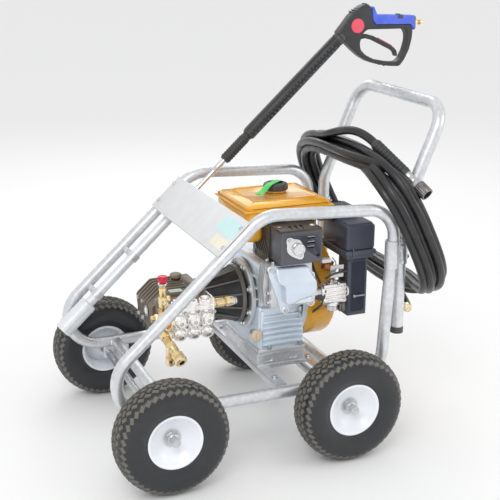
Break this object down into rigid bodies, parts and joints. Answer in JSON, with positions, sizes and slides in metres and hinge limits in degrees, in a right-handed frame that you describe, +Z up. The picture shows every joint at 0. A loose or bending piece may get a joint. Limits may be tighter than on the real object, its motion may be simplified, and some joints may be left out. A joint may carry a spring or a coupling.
{
  "type": "petrol pressure washer",
  "caption": "Petrol pressure washer on a four-wheel tube trolley, with engine, plunger pump, hung hose coil and a spray gun on its lance.",
  "frame": {"origin": "middle of the footprint box on the floor, hose left out", "axes": "+Z up, +X towards the push handle, +Y towards the side that carries the lance"},
  "size_m": [1.026, 0.669, 1.0187],
  "materials": {
    "galvanised": "galvanised, satin",
    "bare_steel": "zinc plated",
    "stainless": "satin",
    "tyre": "matte",
    "white_rim": "gloss",
    "panel_grey": "satin",
    "cast_aluminium": "rough cast",
    "silver_paint": "satin",
    "dark_guard": "satin",
    "orange_paint": "gloss",
    "black_plastic": "moulded",
    "cream_plastic": "moulded",
    "black_paint": "satin",
    "pump_brown": "anodised",
    "nickel": "nickel plated",
    "brass": "bright",
    "red_plastic": "gloss",
    "blue_plastic": "moulded",
    "hose_rubber": "smooth"
  },
  "bodies": {
    "trolley": {"air_cleaner_base": "black_plastic", "air_cleaner_cover": "black_plastic", "bell_housing": "black_paint", "blower_housing": "orange_paint", "carburettor": "cast_aluminium", "crankcase": "cast_aluminium", "crankcase_cover": "cast_aluminium", "engine_deck": "galvanised", "far_front_axle_nut": "bare_steel", "far_handle_clamp": "bare_steel", "far_rear_axle_nut": "bare_steel", "far_side_hoop": "galvanised", "front_axle": "bare_steel", "front_cross_tube": "galvanised", "fuel_tank": "orange_paint", "handle": "galvanised", "hose_coil": "hose_rubber", "hose_coupling": "bare_steel", "hose_tail_fitting": "brass", "inlet_fitting": "brass", "label_panel": "panel_grey", "lance_holder": "galvanised", "muffler_guard": "dark_guard", "near_front_axle_nut": "bare_steel", "near_handle_clamp": "bare_steel", "near_rear_axle_nut": "bare_steel", "near_side_hoop": "galvanised", "outlet_fitting": "brass", "pump_crankcase": "pump_brown", "pump_head": "nickel", "rear_axle": "bare_steel", "rear_cross_tube": "galvanised", "spark_arrester": "stainless", "unloader_body": "brass", "valve_cover": "silver_paint"},
    "lance_and_gun": {"lance_tube": "stainless", "lance_grip": "black_plastic", "gun_shell": "black_plastic", "gun_handle_cover": "blue_plastic", "gun_inlet": "brass"},
    "gun_trigger": {"trigger": "black_plastic"},
    "engine_shaft": {"crankshaft": "bare_steel"},
    "pump_drive": {"pump_shaft": "bare_steel"},
    "recoil_grip": {"starter_grip": "black_plastic"},
    "tank_cap": {"fuel_cap": "black_plastic"},
    "throttle": {"throttle_lever": "bare_steel"},
    "oil_cap": {"oil_filler_cap": "cream_plastic"},
    "pressure_knob": {"unloader_knob": "red_plastic"},
    "near_front_wheel": {"near_front_tyre": "tyre", "near_front_rim": "white_rim", "near_front_hub_bearing": "bare_steel"},
    "far_front_wheel": {"far_front_tyre": "tyre", "far_front_rim": "white_rim", "far_front_hub_bearing": "bare_steel"},
    "near_rear_wheel": {"near_rear_tyre": "tyre", "near_rear_rim": "white_rim", "near_rear_hub_bearing": "bare_steel"},
    "far_rear_wheel": {"far_rear_tyre": "tyre", "far_rear_rim": "white_rim", "far_rear_hub_bearing": "bare_steel"}
  },
  "joints": [
    {"name": "near_front_wheel_spin", "type": "hinge", "parent": "trolley", "child": "near_front_wheel", "pos_m": [-0.37196, -0.292, 0.1325], "axis": [0, 1, 0], "continuous": true},
    {"name": "far_front_wheel_spin", "type": "hinge", "parent": "trolley", "child": "far_front_wheel", "pos_m": [-0.37196, 0.292, 0.1325], "axis": [0, 1, 0], "continuous": true},
    {"name": "near_rear_wheel_spin", "type": "hinge", "parent": "trolley", "child": "near_rear_wheel", "pos_m": [0.06654, -0.292, 0.1325], "axis": [0, 1, 0], "continuous": true},
    {"name": "far_rear_wheel_spin", "type": "hinge", "parent": "trolley", "child": "far_rear_wheel", "pos_m": [0.06654, 0.292, 0.1325], "axis": [0, 1, 0], "continuous": true},
    {"name": "lance_lift", "type": "slide", "parent": "trolley", "child": "lance_and_gun", "axis": [0.7337, 0, 0.6794], "range_m": [0, 0.43]},
    {"name": "trigger_pull", "type": "hinge", "parent": "lance_and_gun", "child": "gun_trigger", "pos_m": [0.30804, 0.195, 0.93068], "axis": [0, -1, 0], "range_deg": [0, 12], "stiffness_Nm_per_rad": 0.8, "springref_deg": -11.46},
    {"name": "engine_spin", "type": "hinge", "parent": "trolley", "child": "engine_shaft", "pos_m": [-0.02271, 0, 0.34], "axis": [1, 0, 0], "continuous": true},
    {"name": "pump_spin", "type": "hinge", "parent": "trolley", "child": "pump_drive", "pos_m": [-0.25271, 0, 0.34], "axis": [1, 0, 0], "continuous": true},
    {"name": "recoil_pull", "type": "slide", "parent": "trolley", "child": "recoil_grip", "axis": [0, 1, 0], "range_m": [0, 0.5], "stiffness_N_per_m": 15, "springref_m": -0.1},
    {"name": "fuel_cap_twist", "type": "hinge", "parent": "trolley", "child": "tank_cap", "pos_m": [0.00929, 0.015, 0.6], "axis": [0, 0, 1], "range_deg": [0, 90]},
    {"name": "throttle_swing", "type": "hinge", "parent": "trolley", "child": "throttle", "pos_m": [0.08729, -0.147, 0.3925], "axis": [0, 0, 1], "range_deg": [-25, 25]},
    {"name": "oil_cap_twist", "type": "hinge", "parent": "trolley", "child": "oil_cap", "pos_m": [-0.09271, -0.113, 0.264], "axis": [0, -1, 0], "range_deg": [0, 90]},
    {"name": "pressure_knob_turn", "type": "hinge", "parent": "trolley", "child": "pressure_knob", "pos_m": [-0.32271, -0.098, 0.432], "axis": [0, 0, 1], "range_deg": [0, 270]}
  ],
  "couplings": [
    {"joint": "pump_spin", "follows": "engine_spin", "ratio": 1}
  ]
}
